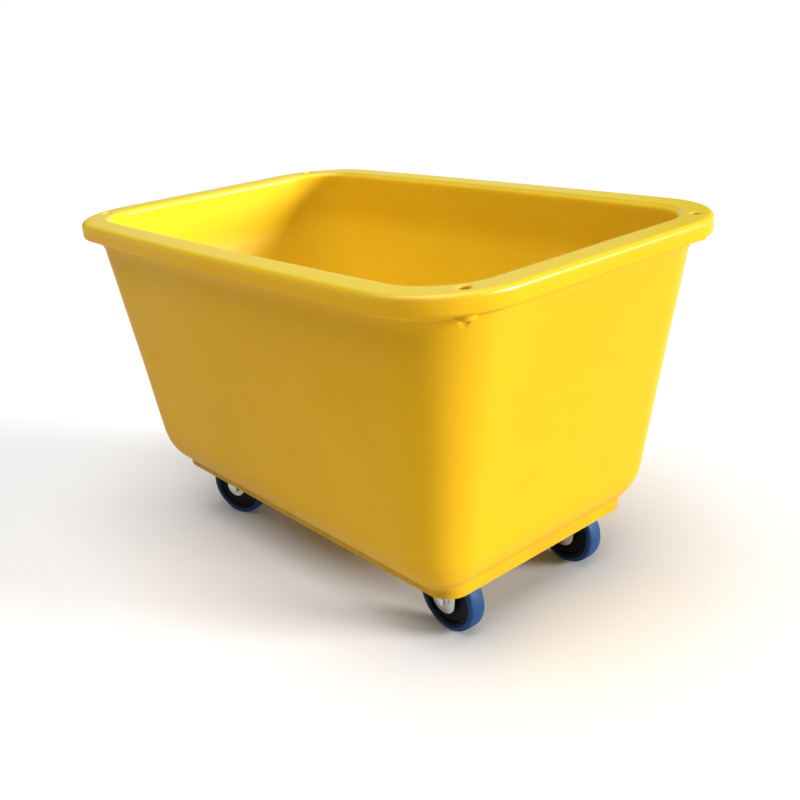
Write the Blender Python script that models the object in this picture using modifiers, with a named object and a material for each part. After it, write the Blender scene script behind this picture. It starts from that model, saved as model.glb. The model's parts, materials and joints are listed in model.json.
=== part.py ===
"""Laundry cart: a one-piece moulded tub on two rigid and two swivelling plate casters.

Frame: metres, +Z up, origin on the ground under the middle of the cart, +X along the cart's
length towards the rigid casters. "Left" is +Y and "right" is -Y.
"""

import math

import bmesh
import bpy
from mathutils import Matrix, Vector

# ---------------------------------------------------------------- driving dimensions, metres

GAP = 0.0003  # clearance between pieces that touch

# Tub
RIM_LENGTH = 1.100
RIM_WIDTH = 0.670
RIM_CORNER_R = 0.144
RIM_TOP_Z = 0.633
RIM_BAND = 0.030  # height of the rim's upright outer face
RIM_OVERHANG = 0.0315  # how far the rim stands out from the wall
RIM_SLOPE_DROP = 0.012  # the rim's underside falls this far on its way in to the wall
RIM_TOP_EDGE_R = 0.008
RIM_LOWER_EDGE_R = 0.005
RIM_INNER_EDGE_R = 0.009
RIM_INNER_SETBACK = 0.022  # inner edge of the rim, in from the wall's outer face
RIM_UNDER_END = 0.007  # where the sloping underside ends, out from the wall
RIM_THICK_DEPTH = 0.090  # below the rim the wall thins down over this height
SIDE_BOW = 0.010  # how far the long sides swell out at the rim, halfway along
WALL = 0.007
FOOT_LENGTH = 0.855  # outline of the sloping wall, carried down to FOOT_LEVEL_Z
FOOT_WIDTH = 0.524
FOOT_CORNER_R = 0.076
FOOT_LEVEL_Z = 0.1285
FOOT_ROUND_R = 0.086  # rounding under the wall, which the skirt comes down out of
FOOT_ROUND_DEPTH = 0.102  # its height
STEP_Z = 0.112  # its lowest level
STEP_BLEND = 0.004  # softness of the line where the rounding meets the skirt
SKIRT_LENGTH = 0.812
SKIRT_WIDTH = 0.443
SKIRT_CORNER_R = 0.042
SKIRT_Z = 0.107  # lower edge of the skirt
SKIRT_WALL = 0.005
SKIRT_EDGE_R = 0.003
SKIRT_INNER_EDGE = 0.002  # chamfer of the skirt's inner lower edge
FLOOR_UNDER_Z = 0.150
FLOOR_ROUND_R = 0.045  # inside, between the floor and the wall
SMALLEST_CORNER_R = 0.010
LONG_STEPS = 6  # faces along each long side of the tub
SHORT_STEPS = 2
CORNER_STEPS = 7  # faces along each rounded corner of the tub
HOLE_ANGLE = math.radians(30)  # place of the rim's tie-down holes, round each corner
HOLE_INSET = 0.026  # from the rim's outer edge
HOLE_R = 0.009
HOLE_BOSS_R = 0.016
HOLE_BOSS_DROP = 0.011  # how far the boss hangs below the rim's upright face
HOLE_STEPS = 16

# Wheels
WHEEL_R = 0.0625
TREAD_WIDTH = 0.032
TREAD_SHOULDER = 0.006
CORE_R = 0.0522
CORE_WIDTH = 0.031
CORE_LIP_R = 0.0440
CORE_WEB_WIDTH = 0.022
HUB_R = 0.0150
HUB_LENGTH = 0.0352
CORE_TAPER = 0.0020  # slope of the hub and of the lip, along the radius
WHEEL_STEPS = 32
CORE_STEPS = 24
ROUND_STEPS = 20
BOLT_STEPS = 10
SLEEVE_R = 0.0085
AXLE_R = 0.0060
AXLE_Z = WHEEL_R

# Casters
PLATE_LENGTH = 0.100
PLATE_WIDTH = 0.074
PLATE_THICK = 0.003
PLATE_CORNER_R = 0.008
PLATE_BOLT_X = 0.039
PLATE_BOLT_Y = 0.027
PLATE_TOP_Z = FLOOR_UNDER_Z - GAP
LEG_THICK = 0.0025
LEG_INNER = 0.0180  # inner face of a fork leg, from the wheel's middle
RIGID_LEG_END_R = 0.0262
RIGID_LEG_TOP = 0.040  # half the leg's width where it meets the plate
SWIVEL_LEG_END_R = 0.0205
SWIVEL_LEG_TOP = 0.024
SWIVEL_LEG_SHIFT = -0.002  # of the legs' top, from the king pin
SWIVEL_TRAIL = 0.022
CROWN_R = 0.0300
CROWN_THICK = 0.0035
CROWN_TOP_Z = 0.1335
RACE_R = 0.0270
RACE_BORE_R = 0.0130
RACE_GROOVE = 0.0020
RACE_TOP_Z = 0.1395
HEAD_BOSS_R = 0.0290
KING_PIN_R = 0.0060
KING_HEAD_R = 0.0095
KING_HEAD_THICK = 0.0050
KING_HEAD_TAPER = 0.0020
BOLT_R = 0.0040
BOLT_HEAD_R = 0.0090
BOLT_HEAD_THICK = 0.0042
BOLT_DOME_R = 0.0110
WELD_NUT_R = 0.0075
WELD_NUT_THICK = 0.0065
AXLE_NUT_R = 0.0108  # across the corners, halved
AXLE_NUT_THICK = 0.0080
AXLE_WASHER_R = 0.0125
AXLE_WASHER_THICK = 0.0020
THREAD_END = 0.0030  # how far a bolt stands out of its nut
OVERLAP = 0.0010  # of pieces that are joined into one
CUT_REACH = 0.0500  # how far a cutter runs past what it cuts

# Casters: name, kind, place of the plate's middle, and the way the fork points at rest
RIGID_X = 0.333
RIGID_Y = 0.147
SWIVEL_X = -0.278
SWIVEL_Y = 0.1475
CASTERS = [
    ("front_right", "rigid", RIGID_X, -RIGID_Y, 0.0),
    ("front_left", "rigid", RIGID_X, RIGID_Y, 0.0),
    ("rear_right", "swivel", SWIVEL_X, -SWIVEL_Y, math.radians(18)),
    ("rear_left", "swivel", SWIVEL_X, SWIVEL_Y, math.radians(4)),
]

# Colours (linear RGB), roughness, metallic
FINISHES = {
    "yellow_polyethylene": ((0.80, 0.52, 0.03), 0.35, 0.0),
    "blue_rubber": ((0.025, 0.10, 0.30), 0.55, 0.0),
    "black_plastic": ((0.008, 0.008, 0.010), 0.45, 0.0),
    "zinc_plate": ((0.60, 0.58, 0.54), 0.32, 1.0),
    "bright_steel": ((0.55, 0.55, 0.56), 0.25, 1.0),
}


# ---------------------------------------------------------------- scene and small helpers


def clear_scene():
    for obj in list(bpy.data.objects):
        bpy.data.objects.remove(obj, do_unlink=True)


def make_collection(name):
    collection = bpy.data.collections.new(name)
    bpy.context.scene.collection.children.link(collection)
    return collection


def make_material(name):
    colour, roughness, metallic = FINISHES[name]
    material = bpy.data.materials.new(name)
    material.use_nodes = True
    shader = material.node_tree.nodes["Principled BSDF"]
    shader.inputs["Base Color"].default_value = (*colour, 1.0)
    shader.inputs["Roughness"].default_value = roughness
    shader.inputs["Metallic"].default_value = metallic
    return material


def add_object(name, mesh, collection, parent=None, location=(0, 0, 0), rotation=(0, 0, 0)):
    obj = bpy.data.objects.new(name, mesh)
    collection.objects.link(obj)
    obj.parent = parent
    obj.location = location
    obj.rotation_euler = rotation
    return obj


def add_empty(name, parent, location, yaw=0.0):
    empty = add_object(name, None, PARTS, parent, location, (0, 0, yaw))
    empty.empty_display_size = 0.05
    return empty


def mesh_from(bm, name):
    bmesh.ops.recalc_face_normals(bm, faces=bm.faces)
    mesh = bpy.data.meshes.new(name)
    bm.to_mesh(mesh)
    bm.free()
    return mesh


def smooth(mesh, degrees=35):
    mesh.shade_smooth()
    mesh.set_sharp_from_angle(angle=math.radians(degrees))
    return mesh


def evaluated_mesh(obj, name):
    """The object's shape with its modifiers applied, as a new mesh. The object is removed."""
    bpy.context.view_layer.update()
    graph = bpy.context.evaluated_depsgraph_get()
    mesh = bpy.data.meshes.new_from_object(obj.evaluated_get(graph))
    mesh.name = name
    bm = bmesh.new()
    bm.from_mesh(mesh)
    bmesh.ops.remove_doubles(bm, verts=bm.verts, dist=1e-6)
    bm.to_mesh(mesh)
    bm.free()
    bpy.data.objects.remove(obj, do_unlink=True)
    return mesh


def combine(name, base, pieces, operation):
    """Joins or cuts the base mesh with each (mesh, matrix) piece, by Boolean modifiers."""
    body = add_object(name, base, PARTS)
    for mesh, matrix in pieces:
        tool = add_object(name + "_tool", mesh, CUTTERS)
        tool.matrix_world = matrix
        tool.hide_render = True
        tool.display_type = "WIRE"
        modifier = body.modifiers.new(operation.lower(), "BOOLEAN")
        modifier.operation = operation
        modifier.solver = "EXACT"
        modifier.object = tool
    result = evaluated_mesh(body, name)
    for tool in list(CUTTERS.objects):
        bpy.data.objects.remove(tool, do_unlink=True)
    return result


def move(x=0.0, y=0.0, z=0.0):
    return Matrix.Translation((x, y, z))


ALONG_Y = Matrix.Rotation(math.radians(90), 4, "X")  # turns a shape's Z axis to -Y


def cylinder(radius, low, high, steps=24):
    """A closed cylinder or prism round Z, between two heights."""
    bm = bmesh.new()
    bmesh.ops.create_cone(
        bm, cap_ends=True, segments=steps, radius1=radius, radius2=radius, depth=high - low
    )
    bmesh.ops.translate(bm, verts=bm.verts, vec=(0, 0, (low + high) / 2))
    return mesh_from(bm, "cylinder")


def turned(name, profile, steps=24):
    """A profile of (radius, height) points, down its outer side, turned round Z."""
    mesh = bpy.data.meshes.new(name)
    points = [(radius, 0.0, height) for radius, height in profile]
    mesh.from_pydata(points, [(i, i + 1) for i in range(len(points) - 1)], [])
    obj = add_object(name, mesh, PARTS)
    screw = obj.modifiers.new("turn", "SCREW")
    screw.axis = "Z"
    screw.steps = steps
    screw.render_steps = steps
    screw.use_merge_vertices = True
    screw.merge_threshold = 0.00001
    return smooth(evaluated_mesh(obj, name))


def turned_ring(name, profile, steps=24):
    """As turned, for a closed profile that goes round a bore."""
    return turned(name, profile + profile[:1], steps)


def arc(centre, radius, start, end, steps):
    """Points on an arc in the plane of two axes; the angles are in degrees."""
    found = []
    for i in range(steps + 1):
        angle = math.radians(start + (end - start) * i / steps)
        x = centre[0] + radius * math.cos(angle)
        y = centre[1] + radius * math.sin(angle)
        found.append((x, y))
    return found


def rounded_rectangle(length, width, radius, steps):
    """Corner points of a rounded rectangle's outline, anticlockwise."""
    half_x = length / 2 - radius
    half_y = width / 2 - radius
    outline = []
    for quarter, (sx, sy) in enumerate(((1, 1), (-1, 1), (-1, -1), (1, -1))):
        start = 90 * quarter
        outline += arc((sx * half_x, sy * half_y), radius, start, start + 90, steps)
    return outline


def flat_plate(name, outline, thickness):
    """A flat outline in the XY plane, extruded to a thickness centred on that plane."""
    curve = bpy.data.curves.new(name, "CURVE")
    curve.dimensions = "2D"
    curve.fill_mode = "BOTH"
    curve.extrude = thickness / 2
    spline = curve.splines.new("POLY")
    spline.points.add(len(outline) - 1)
    for point, (x, y) in zip(spline.points, outline):
        point.co = (x, y, 0.0, 1.0)
    spline.use_cyclic_u = True
    return evaluated_mesh(add_object(name, curve, PARTS), name)


# ---------------------------------------------------------------- tub


def tub_outline(z):
    """Half length, half width, corner radius and side bow of the wall's outer face at z."""
    top = RIM_TOP_Z - RIM_BAND
    share = (top - z) / (top - FOOT_LEVEL_Z)
    half_x = RIM_LENGTH / 2 - RIM_OVERHANG
    half_y = RIM_WIDTH / 2 - RIM_OVERHANG
    radius = RIM_CORNER_R - RIM_OVERHANG
    return (
        half_x + (FOOT_LENGTH / 2 - half_x) * share,
        half_y + (FOOT_WIDTH / 2 - half_y) * share,
        radius + (FOOT_CORNER_R - radius) * share,
        SIDE_BOW * max(0.0, 1.0 - max(0.0, share)) ** 1.5,
    )


def ring_points(half_x, half_y, radius, bow, z):
    """One level of the tub: a rounded rectangle whose long sides swell out by the bow."""
    corners = ((1, 1), (-1, 1), (-1, -1), (1, -1))
    points = []
    for quarter, (sx, sy) in enumerate(corners):
        centre = (sx * (half_x - radius), sy * (half_y - radius))
        points += arc(centre, radius, 90 * quarter, 90 * quarter + 90, CORNER_STEPS)
        next_x, next_y = corners[(quarter + 1) % 4]
        turn = math.radians(90 * quarter + 90)
        first = Vector(points[-1])
        last = Vector((next_x * (half_x - radius), next_y * (half_y - radius)))
        last += radius * Vector((math.cos(turn), math.sin(turn)))
        steps = LONG_STEPS if quarter % 2 == 0 else SHORT_STEPS
        points += [tuple(first.lerp(last, i / steps)) for i in range(1, steps)]
    swollen = []
    for x, y in points:
        swell = bow * (1 - (x / half_x) ** 2) * abs(y / half_y) ** 6
        swollen.append(Vector((x, y + math.copysign(swell, y), z)))
    return swollen


def offset_ring(z, out, at=None):
    """A level of the tub, out from the wall's outer face (negative is inward)."""
    half_x, half_y, radius, bow = tub_outline(z if at is None else at)
    return ring_points(half_x + out, half_y + out, max(radius + out, SMALLEST_CORNER_R), bow, z)


def skirt_ring(z, inward):
    radius = max(SKIRT_CORNER_R - inward, SMALLEST_CORNER_R)
    return ring_points(SKIRT_LENGTH / 2 - inward, SKIRT_WIDTH / 2 - inward, radius, 0.0, z)


def larger(first, second):
    """The larger of two lengths, with a soft change from one to the other."""
    return (first + second + math.hypot(first - second, STEP_BLEND)) / 2


def foot_ring(z, across, bow_share):
    """A level of the rounding under the wall, down to where the skirt stands out of it."""
    half_x, half_y, radius, bow = tub_outline(STEP_Z + FOOT_ROUND_DEPTH)
    return ring_points(
        larger(half_x + across, SKIRT_LENGTH / 2),
        larger(half_y + across, SKIRT_WIDTH / 2),
        larger(radius + across, SKIRT_CORNER_R),
        bow * bow_share,
        z,
    )


def tub_rings():
    """Every level of the tub's surface, from the floor up the inside, over the rim, down the
    outside, under the skirt and back to the floor's underside."""
    rings = []
    floor_top = FLOOR_UNDER_Z + WALL
    wall_top = RIM_TOP_Z - RIM_BAND
    # Rounding from the floor up into the wall
    inner_low = floor_top + FLOOR_ROUND_R
    for across, up in arc((-FLOOR_ROUND_R, FLOOR_ROUND_R), FLOOR_ROUND_R, -90, 0, 5):
        rings.append(offset_ring(floor_top + up, across - WALL, at=inner_low))
    # Inner wall, with the thicker band under the rim
    thick_from = wall_top - RIM_THICK_DEPTH
    thick_to = RIM_TOP_Z - RIM_INNER_EDGE_R
    rings.append(offset_ring((inner_low + thick_from) / 2, -WALL))
    for i in range(4):
        share = i / 3
        blend = share * share * (3 - 2 * share)
        z = thick_from + (thick_to - thick_from) * share
        setback = WALL + (RIM_INNER_SETBACK - WALL) * blend
        rings.append(offset_ring(z, -setback, at=min(z, wall_top)))
    # Rim: inner edge, top face, nose, underside
    inner = RIM_INNER_EDGE_R - RIM_INNER_SETBACK
    for across, up in arc((inner, thick_to), RIM_INNER_EDGE_R, 180, 90, 3)[1:]:
        rings.append(offset_ring(up, across, at=wall_top))
    nose_z = RIM_TOP_Z - RIM_TOP_EDGE_R
    nose = RIM_OVERHANG - RIM_TOP_EDGE_R
    for across, up in arc((nose, nose_z), RIM_TOP_EDGE_R, 90, 0, 3):
        rings.append(offset_ring(up, across, at=wall_top))
    lower = RIM_OVERHANG - RIM_LOWER_EDGE_R
    lower_z = wall_top + RIM_LOWER_EDGE_R
    for across, up in arc((lower, lower_z), RIM_LOWER_EDGE_R, 0, -80, 2):
        rings.append(offset_ring(up, across, at=wall_top))
    end = RIM_UNDER_END
    rings.append(offset_ring(wall_top - RIM_SLOPE_DROP * 0.75, end, at=wall_top))
    rings.append(offset_ring(wall_top - RIM_SLOPE_DROP * 1.25, end / 5, at=wall_top))
    # Outer wall
    foot_top = STEP_Z + FOOT_ROUND_DEPTH
    for share in (0.06, 0.4, 0.75):
        z = wall_top - RIM_SLOPE_DROP + (foot_top - wall_top) * share
        rings.append(offset_ring(z, 0.0))
    # Rounding under the wall, and the skirt and its lower edge
    for cosine, sine in arc((0, 0), 1.0, 0, -90, 8):
        across = FOOT_ROUND_R * (cosine - 1.0)
        rings.append(foot_ring(foot_top + FOOT_ROUND_DEPTH * sine, across, 1.0 + sine))
    rings.append(skirt_ring(SKIRT_Z + SKIRT_EDGE_R, 0.0))
    rings.append(skirt_ring(SKIRT_Z, SKIRT_EDGE_R * 0.6))
    rings.append(skirt_ring(SKIRT_Z, SKIRT_WALL - SKIRT_INNER_EDGE / 2))
    rings.append(skirt_ring(SKIRT_Z + SKIRT_INNER_EDGE, SKIRT_WALL))
    rings.append(skirt_ring(FLOOR_UNDER_Z, SKIRT_WALL))
    return rings


def make_tub():
    bm = bmesh.new()
    levels = [[bm.verts.new(p) for p in ring] for ring in tub_rings()]
    count = len(levels[0])
    for lower, upper in zip(levels, levels[1:]):
        for i in range(count):
            j = (i + 1) % count
            bm.faces.new((lower[i], lower[j], upper[j], upper[i]))
    bm.faces.new(levels[0])
    bm.faces.new(levels[-1])
    shell = mesh_from(bm, "tub_shell")
    bosses = []
    holes = []
    arc_x = RIM_LENGTH / 2 - RIM_CORNER_R
    arc_y = RIM_WIDTH / 2 - RIM_CORNER_R
    reach = RIM_CORNER_R - HOLE_INSET
    boss_low = RIM_TOP_Z - RIM_BAND - HOLE_BOSS_DROP
    boss = cylinder(HOLE_BOSS_R, boss_low, RIM_TOP_Z - RIM_BAND / 2, HOLE_STEPS)
    hole = cylinder(HOLE_R, boss_low - RIM_BAND, RIM_TOP_Z + RIM_BAND, HOLE_STEPS)
    for sx in (1, -1):
        for sy in (1, -1):
            x = sx * (arc_x + reach * math.cos(HOLE_ANGLE))
            y = sy * (arc_y + reach * math.sin(HOLE_ANGLE))
            bosses.append((boss, move(x, y)))
            holes.append((hole, move(x, y)))
    low, high = FLOOR_UNDER_Z - WALL, FLOOR_UNDER_Z + 2 * WALL
    bolt_hole = cylinder(BOLT_R + GAP, low, high, BOLT_STEPS)
    for _, _, x, y, _ in CASTERS:
        for bx, by in bolt_places():
            holes.append((bolt_hole, move(x + bx, y + by)))
    mesh = combine("tub", shell, bosses, "UNION")
    mesh = smooth(combine("tub", mesh, holes, "DIFFERENCE"), 40)
    tub = add_object("tub", mesh, PARTS)
    tub.data.materials.append(MATERIALS["yellow_polyethylene"])
    return tub


# ---------------------------------------------------------------- caster pieces, as shared meshes


def bolt_places():
    return [(sx * PLATE_BOLT_X, sy * PLATE_BOLT_Y) for sx in (1, -1) for sy in (1, -1)]


def tread_mesh():
    """A blue ring with rounded shoulders. Its flats, not its corners, lie on the wheel's radius."""
    outer = WHEEL_R / math.cos(math.pi / WHEEL_STEPS)
    inner = CORE_R + GAP
    half = TREAD_WIDTH / 2
    shoulder = TREAD_SHOULDER
    corner = shoulder * 0.3
    profile = [(outer - shoulder, half), (outer - corner, half - corner)]
    profile += [(outer, half - shoulder), (outer, shoulder - half)]
    profile += [(outer - corner, corner - half), (outer - shoulder, -half)]
    profile += [(inner, -half), (inner, half)]
    return turned_ring("tread", profile, WHEEL_STEPS)


def core_mesh():
    """The wheel centre: a rim, a thin web and a hub with a bore for the axle sleeve."""
    lip = CORE_WIDTH / 2
    web = CORE_WEB_WIDTH / 2
    hub = HUB_LENGTH / 2
    bore = SLEEVE_R + GAP
    side = [(bore, hub), (HUB_R, hub), (HUB_R + CORE_TAPER, web), (CORE_LIP_R, web)]
    side += [(CORE_LIP_R + CORE_TAPER, lip), (CORE_R, lip)]
    profile = side + [(radius, -height) for radius, height in reversed(side)]
    return turned_ring("wheel_core", profile, CORE_STEPS)


def sleeve_mesh():
    half = LEG_INNER - GAP
    bore = AXLE_R + GAP
    profile = [(SLEEVE_R, half), (SLEEVE_R, -half), (bore, -half), (bore, half)]
    return turned_ring("axle_sleeve", profile, ROUND_STEPS)


def axle_bolt_mesh():
    """Hexagon head with a washer face at +Z, and a shank long enough for the nut."""
    leg_outer = LEG_INNER + LEG_THICK
    head_low = leg_outer + GAP
    shank_end = -(leg_outer + AXLE_WASHER_THICK + AXLE_NUT_THICK + THREAD_END)
    shank = cylinder(AXLE_R, shank_end, head_low + OVERLAP, ROUND_STEPS)
    washer = cylinder(AXLE_WASHER_R, head_low, head_low + AXLE_WASHER_THICK, ROUND_STEPS)
    hex_low = head_low + AXLE_WASHER_THICK - OVERLAP
    head = cylinder(AXLE_NUT_R, hex_low, hex_low + AXLE_NUT_THICK, 6)
    identity = Matrix.Identity(4)
    return smooth(combine("axle_bolt", shank, [(washer, identity), (head, identity)], "UNION"))


def axle_nut_mesh():
    """Flange nut at -Z, outside the other fork leg."""
    top = -(LEG_INNER + LEG_THICK + GAP)
    flange = cylinder(AXLE_WASHER_R, top - AXLE_WASHER_THICK, top, ROUND_STEPS)
    nut = cylinder(AXLE_NUT_R, top - AXLE_WASHER_THICK - AXLE_NUT_THICK, top - OVERLAP, 6)
    bore = cylinder(AXLE_R + GAP, top - CUT_REACH, top + CUT_REACH, ROUND_STEPS)
    identity = Matrix.Identity(4)
    mesh = combine("axle_nut", flange, [(nut, identity)], "UNION")
    return smooth(combine("axle_nut", mesh, [(bore, identity)], "DIFFERENCE"))


def floor_bolt_mesh():
    """Domed bolt through the tub's floor and the caster's plate. Z is 0 on the floor."""
    dome = arc((0, BOLT_HEAD_THICK - BOLT_DOME_R), BOLT_DOME_R, 90, 35, 3)
    length = WALL + PLATE_THICK + WELD_NUT_THICK + THREAD_END
    profile = [(x, z + GAP) for x, z in dome if z > 0]
    profile += [(BOLT_HEAD_R, GAP), (BOLT_R, GAP), (BOLT_R, -length), (0.0, -length)]
    profile[0] = (0.0, profile[0][1])
    return turned("floor_bolt", profile, BOLT_STEPS)


def plate_mesh():
    """A caster's mounting plate with its weld nuts. Z is 0 on the plate's upper face."""
    outline = rounded_rectangle(PLATE_LENGTH, PLATE_WIDTH, PLATE_CORNER_R, 3)
    plate = flat_plate("plate", outline, PLATE_THICK)
    plate.transform(move(z=-PLATE_THICK / 2))
    nut = cylinder(WELD_NUT_R, -PLATE_THICK - WELD_NUT_THICK, -PLATE_THICK / 2, 6)
    bore = cylinder(BOLT_R + GAP, -CUT_REACH, CUT_REACH, BOLT_STEPS)
    mesh = combine("plate", plate, [(nut, move(x, y)) for x, y in bolt_places()], "UNION")
    return combine("plate", mesh, [(bore, move(x, y)) for x, y in bolt_places()], "DIFFERENCE")


def leg_outline(axle_x, end_r, top_x, top_half, top_z):
    """Side view of a fork leg: a round end on the axle, and two straight edges to its top."""
    end = (axle_x, AXLE_Z)
    edges = []
    for side in (1, -1):
        corner = Vector((top_x + side * top_half, top_z))
        towards = corner - Vector(end)
        lean = math.atan2(towards.y, towards.x)
        tangent = math.acos(end_r / towards.length)
        edges.append((corner, math.degrees(lean - side * tangent)))
    (right, right_angle), (left, left_angle) = edges
    round_end = arc(end, end_r, left_angle, right_angle + 360, 10)
    return [tuple(right), tuple(left)] + round_end


def add_legs(name, base, axle_x, end_r, top_x, top_half, top_z):
    """The base mesh joined to a pair of fork legs, with the axle's holes cut through them."""
    outline = leg_outline(axle_x, end_r, top_x, top_half, top_z)
    leg = flat_plate(name + "_leg", outline, LEG_THICK)
    offset = LEG_INNER + LEG_THICK / 2
    places = [move(y=side * offset) @ ALONG_Y for side in (1, -1)]
    mesh = combine(name, base, [(leg, place) for place in places], "UNION")
    hole = cylinder(AXLE_R + GAP, -CUT_REACH, CUT_REACH, ROUND_STEPS)
    hole.transform(ALONG_Y)
    return smooth(combine(name, mesh, [(hole, move(axle_x, 0, AXLE_Z))], "DIFFERENCE"))


def rigid_fork_mesh():
    plate = plate_mesh()
    plate.transform(move(z=PLATE_TOP_Z))
    top_z = PLATE_TOP_Z - PLATE_THICK / 2
    return add_legs("rigid_fork", plate, 0.0, RIGID_LEG_END_R, 0.0, RIGID_LEG_TOP, top_z)


def swivel_fork_mesh():
    """Crown round the king pin at X 0, legs reaching back to the axle at minus the trail."""
    crown_low = CROWN_TOP_Z - CROWN_THICK
    crown = cylinder(CROWN_R, crown_low, CROWN_TOP_Z, 24)
    mesh = add_legs(
        "swivel_fork",
        crown,
        -SWIVEL_TRAIL,
        SWIVEL_LEG_END_R,
        SWIVEL_LEG_SHIFT,
        SWIVEL_LEG_TOP,
        CROWN_TOP_Z - CROWN_THICK / 2,
    )
    bore = cylinder(KING_PIN_R + GAP, crown_low - CUT_REACH, CROWN_TOP_Z + CUT_REACH, ROUND_STEPS)
    return smooth(combine("swivel_fork", mesh, [(bore, Matrix.Identity(4))], "DIFFERENCE"))


def top_plate_mesh():
    """The swivel caster's plate, with the raised head that holds the race."""
    plate = plate_mesh()
    plate.transform(move(z=PLATE_TOP_Z))
    head = cylinder(HEAD_BOSS_R, RACE_TOP_Z + GAP, PLATE_TOP_Z - PLATE_THICK / 2, 24)
    bore = cylinder(KING_PIN_R + GAP, RACE_TOP_Z - CUT_REACH, PLATE_TOP_Z + CUT_REACH, ROUND_STEPS)
    mesh = combine("top_plate", plate, [(head, Matrix.Identity(4))], "UNION")
    return smooth(combine("top_plate", mesh, [(bore, Matrix.Identity(4))], "DIFFERENCE"))


def race_mesh():
    """The closed ball race between the fork's crown and the plate's head."""
    low = CROWN_TOP_Z + GAP
    middle = (low + RACE_TOP_Z) / 2
    waist = RACE_R - RACE_GROOVE
    profile = [(RACE_R, RACE_TOP_Z), (waist, middle), (RACE_R, low)]
    profile += [(RACE_BORE_R, low), (RACE_BORE_R, RACE_TOP_Z)]
    return turned_ring("swivel_race", profile, 24)


def king_pin_mesh():
    """The rivet that the fork turns on: its lower head holds the crown up."""
    head_top = CROWN_TOP_Z - CROWN_THICK - GAP
    profile = [(0.0, PLATE_TOP_Z - GAP), (KING_PIN_R, PLATE_TOP_Z - GAP)]
    profile += [(KING_PIN_R, head_top), (KING_HEAD_R, head_top)]
    profile += [(KING_HEAD_R - KING_HEAD_TAPER, head_top - KING_HEAD_THICK)]
    profile += [(0.0, head_top - KING_HEAD_THICK)]
    return turned("king_pin", profile, ROUND_STEPS)


# ---------------------------------------------------------------- assembly


def place(name, mesh, finish, parent, location=(0, 0, 0), rotation=(0, 0, 0)):
    if not mesh.materials:
        mesh.materials.append(MATERIALS[finish])
    return add_object(name, mesh, PARTS, parent, location, rotation)


def make_caster(position, kind, x, y, yaw, meshes):
    """One caster. Its wheel hangs on an empty on the axle, its fork on one on the king pin."""
    plate_frame = add_empty(position + "_plate_frame", None, (x, y, 0))
    if kind == "rigid":
        place(position + "_rigid_fork", meshes["rigid_fork"], "zinc_plate", plate_frame)
        fork_frame = plate_frame
        axle_x = 0.0
    else:
        place(position + "_top_plate", meshes["top_plate"], "zinc_plate", plate_frame)
        place(position + "_swivel_race", meshes["swivel_race"], "zinc_plate", plate_frame)
        place(position + "_king_pin", meshes["king_pin"], "bright_steel", plate_frame)
        fork_frame = add_empty(position + "_swivel_frame", None, (x, y, 0), yaw)
        place(position + "_swivel_fork", meshes["swivel_fork"], "zinc_plate", fork_frame)
        axle_x = -SWIVEL_TRAIL
    axle_frame = add_empty(position + "_axle_frame", fork_frame, (axle_x, 0, AXLE_Z))
    # A turned shape's Z axis lies along the axle, with its bolt head towards the outside.
    facing = math.radians(90 if y < 0 else -90)
    turn = math.pi / WHEEL_STEPS
    tread_turn = (facing, turn, 0)
    place(position + "_tread", meshes["tread"], "blue_rubber", axle_frame, (0, 0, 0), tread_turn)
    for part, finish in (
        ("wheel_core", "black_plastic"),
        ("axle_sleeve", "bright_steel"),
        ("axle_bolt", "bright_steel"),
        ("axle_nut", "bright_steel"),
    ):
        place(f"{position}_{part}", meshes[part], finish, axle_frame, (0, 0, 0), (facing, 0, 0))
    floor_top = FLOOR_UNDER_Z + WALL
    for i, (bx, by) in enumerate(bolt_places()):
        name = f"{position}_floor_bolt_{i + 1}"
        place(name, meshes["floor_bolt"], "zinc_plate", plate_frame, (bx, by, floor_top))


clear_scene()
PARTS = make_collection("laundry_cart")
CUTTERS = make_collection("cutters")
MATERIALS = {name: make_material(name) for name in FINISHES}
make_tub()
MESHES = {
    "tread": tread_mesh(),
    "wheel_core": core_mesh(),
    "axle_sleeve": sleeve_mesh(),
    "axle_bolt": axle_bolt_mesh(),
    "axle_nut": axle_nut_mesh(),
    "floor_bolt": floor_bolt_mesh(),
    "rigid_fork": rigid_fork_mesh(),
    "swivel_fork": swivel_fork_mesh(),
    "top_plate": top_plate_mesh(),
    "swivel_race": race_mesh(),
    "king_pin": king_pin_mesh(),
}
for caster in CASTERS:
    make_caster(*caster, MESHES)
bpy.context.view_layer.update()
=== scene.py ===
import json
import math

import bmesh
import bpy
from mathutils import Matrix, Vector, noise


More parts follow.
